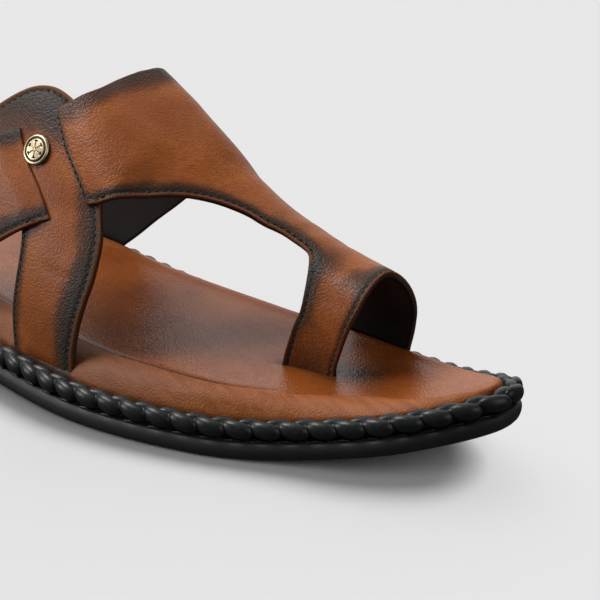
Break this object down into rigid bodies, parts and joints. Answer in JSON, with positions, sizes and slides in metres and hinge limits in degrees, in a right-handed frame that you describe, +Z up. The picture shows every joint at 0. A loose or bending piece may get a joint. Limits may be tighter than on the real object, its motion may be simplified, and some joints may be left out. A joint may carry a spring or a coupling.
{
  "type": "kolhapuri sandal",
  "caption": "Right open-back leather sandal with a toe ring, a wide instep panel with crossed side straps, a stud, a padded footbed and a twisted rope edge over a rubber sole.",
  "frame": {"origin": "on the floor, on the line from heel to toe, at about half the sandal's length", "axes": "+X from heel to toe, +Y to the inner side of the foot, +Z up"},
  "size_m": [0.2941, 0.0957, 0.0993],
  "materials": {
    "outsole": "matte moulded rubber",
    "rope_rand": "dark waxed twisted rope, satin",
    "footbed": "smooth padded leather over foam, satin",
    "upper": "tan pebbled leather with edges burnished near black",
    "stud": "antique brass"
  },
  "bodies": {
    "root": {"outsole": "outsole", "rope_rand": "rope_rand", "footbed": "footbed", "upper": "upper", "stud": "stud"}
  },
  "joints": []
}
